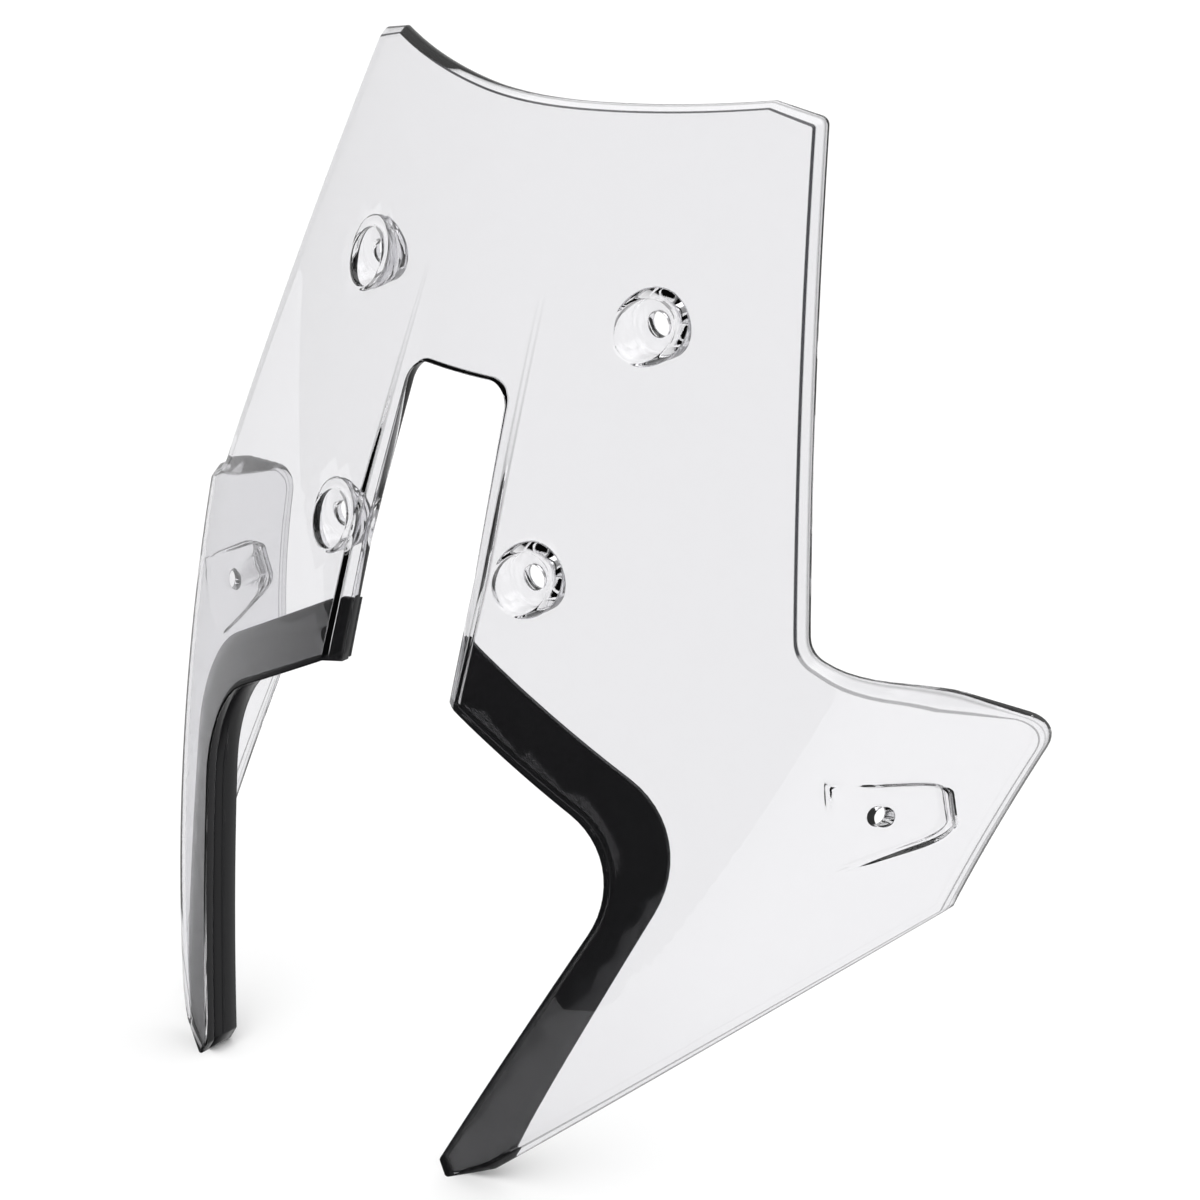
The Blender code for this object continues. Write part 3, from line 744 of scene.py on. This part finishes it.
def make_border(name, side):
    leg_points = spaced(rounded(leg_run()))
    leg = [(a.xy, b.xy) for a, b in zip(leg_points, leg_points[1:])]
    outline = border_outline()

    def front_of(x, z):
        return rear_depth(x, z) + BORDER_GAP * slant(x, z)

    def rear_of(x, z):
        layer = BORDER_LAYER * slant(x, z)
        return front_of(x, z) + layer + RETURN_DEPTH * return_share(x, z, leg)

    front = Face(front_of)
    rear = Face(rear_of)
    lines = [offset_line(leg_points, RETURN_THICKNESS + BORDER_SETBACK + extra,
                         RETURN_TOP_HEIGHT) for extra in (0.0, RETURN_DRAFT)]
    crease_foot = CUT_OUT_FOOT_HEIGHT + LOOP_STEP / 2.0
    crease_top = CUT_OUT_FOOT_HEIGHT + BAND_RISE - LOOP_STEP / 2.0
    creases = [channel_line(share, 1.0, crease_foot, crease_top)
               for share in (-CREASE_SOFTNESS, CREASE_SOFTNESS)]
    if side < 0.0:
        outline = mirrored(outline)
        lines = [mirrored(line) for line in lines]
        creases = [mirrored(line) for line in creases]
    rounding = inset(outline, [BORDER_ROUNDING] * len(outline))
    for face, extra in ((front, BORDER_ROUNDING / 2.0), (rear, -BORDER_ROUNDING / 2.0)):
        depths = [face.depth_of(p.x, p.y) + extra for p in outline]
        face.ring(outline, depths, name="edge")
        face.ring(rounding)
        for crease in creases:
            face.line(crease)
    for line in lines:
        rear.line(line)
    for face in (front, rear):
        face.add_grid(outline, [])
    return close_body(name, front, rear)


# ---- Materials -----------------------------------------------------------------------

def new_material(name):
    material = bpy.data.materials.new(name)
    material.use_nodes = True
    nodes = material.node_tree.nodes
    return nodes, material.node_tree.links, nodes["Principled BSDF"], material


def add_bump(nodes, links, shader, scale, height):
    """Slight unevenness of a moulded face. Scale is in bumps per metre, height in metres."""
    place = nodes.new("ShaderNodeTexCoord")
    noise = nodes.new("ShaderNodeTexNoise")
    noise.inputs["Scale"].default_value = scale
    noise.inputs["Detail"].default_value = 2.0
    bump = nodes.new("ShaderNodeBump")
    bump.inputs["Strength"].default_value = 1.0
    bump.inputs["Distance"].default_value = height
    links.new(place.outputs["Object"], noise.inputs["Vector"])
    links.new(noise.outputs["Fac"], bump.inputs["Height"])
    links.new(bump.outputs["Normal"], shader.inputs["Normal"])
    return noise


def clear_plastic():
    nodes, links, shader, material = new_material("clear polycarbonate")
    # Painted shade: the attribute darkens the base colour into lines along rims and creases.
    shade = nodes.new("ShaderNodeAttribute")
    shade.attribute_name = PAINTED_SHADE_NAME
    clear_and_painted_shade = nodes.new("ShaderNodeMix")
    clear_and_painted_shade.data_type = "RGBA"
    clear_and_painted_shade.inputs["A"].default_value = CLEAR_COLOUR
    clear_and_painted_shade.inputs["B"].default_value = PAINTED_SHADE_COLOUR
    links.new(shade.outputs["Fac"], clear_and_painted_shade.inputs["Factor"])
    links.new(clear_and_painted_shade.outputs["Result"], shader.inputs["Base Color"])
    shader.inputs["Roughness"].default_value = 0.0
    shader.inputs["IOR"].default_value = CLEAR_IOR
    shader.inputs["Transmission Weight"].default_value = 1.0
    add_bump(nodes, links, shader, 9.0, 0.00003)
    return material


def gloss_black():
    nodes, links, shader, material = new_material("gloss black")
    shader.inputs["Base Color"].default_value = BLACK_COLOUR
    shader.inputs["IOR"].default_value = BLACK_IOR
    noise = add_bump(nodes, links, shader, 160.0, 0.000006)
    sheen = nodes.new("ShaderNodeMapRange")
    sheen.inputs["To Min"].default_value = BLACK_ROUGHNESS[0]
    sheen.inputs["To Max"].default_value = BLACK_ROUGHNESS[1]
    links.new(noise.outputs["Fac"], sheen.inputs["Value"])
    links.new(sheen.outputs["Result"], shader.inputs["Roughness"])
    return material


def floor_paint():
    _, _, shader, material = new_material("pale floor")
    shader.inputs["Base Color"].default_value = FLOOR_COLOUR
    shader.inputs["Roughness"].default_value = 0.9
    shader.inputs["Specular IOR Level"].default_value = 0.1
    return material


# ---- Studio --------------------------------------------------------------------------

def make_floor():
    """A square floor just below the feet. Direct reflections leave it out."""
    mesh = bpy.data.meshes.new("floor")
    corners = [(-FLOOR_REACH, -FLOOR_REACH, 0.0), (FLOOR_REACH, -FLOOR_REACH, 0.0),
               (FLOOR_REACH, FLOOR_REACH, 0.0), (-FLOOR_REACH, FLOOR_REACH, 0.0)]
    mesh.from_pydata(corners, [], [(0, 1, 2, 3)])
    mesh.materials.append(floor_paint())
    floor = bpy.data.objects.new("floor", mesh)
    floor.location.z = -FLOOR_DROP
    floor.visible_glossy = False
    bpy.context.scene.collection.objects.link(floor)


def make_world():
    """A soft box overhead, pale walls at the back, and a dark room in front of the screen."""
    world = bpy.data.worlds.new("studio")
    world.use_nodes = True
    bpy.context.scene.world = world
    nodes = world.node_tree.nodes
    links = world.node_tree.links
    place = nodes.new("ShaderNodeTexCoord")
    strengths = []
    for direction, (start, end), strength_there, strength_elsewhere in (
            (OVERHEAD, OVERHEAD_FADE, SOFT_BOX, 0.0), (IN_FRONT, IN_FRONT_FADE, DARK_ROOM, WALLS)):
        towards = nodes.new("ShaderNodeVectorMath")
        towards.operation = "DOT_PRODUCT"
        towards.inputs[1].default_value = Vector(direction).normalized()
        shade = nodes.new("ShaderNodeMapRange")
        shade.interpolation_type = "SMOOTHSTEP"
        shade.inputs["From Min"].default_value = start
        shade.inputs["From Max"].default_value = end
        shade.inputs["To Min"].default_value = strength_elsewhere
        shade.inputs["To Max"].default_value = strength_there
        links.new(place.outputs["Generated"], towards.inputs[0])
        links.new(towards.outputs["Value"], shade.inputs["Value"])
        strengths.append(shade.outputs["Result"])
    total = nodes.new("ShaderNodeMath")
    total.operation = "MAXIMUM"
    for strength, socket in zip(strengths, total.inputs):
        links.new(strength, socket)
    links.new(total.outputs["Value"], nodes["Background"].inputs["Strength"])
    nodes["Background"].inputs["Color"].default_value = (1.0, 1.0, 1.0, 1.0)


def make_camera(low, high):
    view = Vector((-math.sin(CAMERA_AZIMUTH) * math.cos(CAMERA_ELEVATION),
                   math.cos(CAMERA_AZIMUTH) * math.cos(CAMERA_ELEVATION),
                   -math.sin(CAMERA_ELEVATION)))
    middle = (low + high) / 2.0
    target = Vector((middle.x, middle.y + TARGET_BEHIND_MIDDLE, low.z + TARGET_HEIGHT))
    lens = bpy.data.cameras.new("camera")
    lens.lens = CAMERA_LENS
    lens.sensor_width = 36.0
    lens.clip_end = 100.0
    camera = bpy.data.objects.new("camera", lens)
    camera.location = target - view * CAMERA_DISTANCE
    camera.rotation_euler = view.to_track_quat("-Z", "Y").to_euler()
    bpy.context.scene.collection.objects.link(camera)
    bpy.context.scene.camera = camera


def place_in_frame(bodies, low):
    """Moves the fine meshes together, so that their front and foot are the CAD box's."""
    places = [vert.co for body in bodies for vert in body.data.vertices]
    shift = Vector((0.0, low.y - min(place.y for place in places),
                    low.z - min(place.z for place in places)))
    for body in bodies:
        body.data.transform(Matrix.Translation(shift))


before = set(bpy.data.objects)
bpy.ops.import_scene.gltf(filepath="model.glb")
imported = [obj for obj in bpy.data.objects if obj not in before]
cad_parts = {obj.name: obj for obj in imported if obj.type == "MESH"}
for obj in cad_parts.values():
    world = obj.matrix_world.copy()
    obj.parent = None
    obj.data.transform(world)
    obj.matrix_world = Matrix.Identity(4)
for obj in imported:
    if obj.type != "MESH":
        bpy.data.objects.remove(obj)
cad_low, cad_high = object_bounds()
make_camera(cad_low, cad_high)

black = gloss_black()
screen = make_screen()
borders = [make_border("right_gloss_border", 1.0), make_border("left_gloss_border", -1.0)]
place_in_frame([screen, *borders], cad_low)
screen.data.materials.append(clear_plastic())
screen.data.materials.append(black)
# The floor is lit as if the clear sheet were not there.
screen.visible_shadow = False
screen.visible_diffuse = False
for border in borders:
    border.data.materials.append(black)
for piece, node, finish in ((screen, "screen", "clear"), (borders[0], "right_border", "black"),
                            (borders[1], "left_border", "black")):
    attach(piece, "root")
    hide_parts(node)

make_floor()
make_world()
bpy.context.scene.view_settings.view_transform = "Standard"
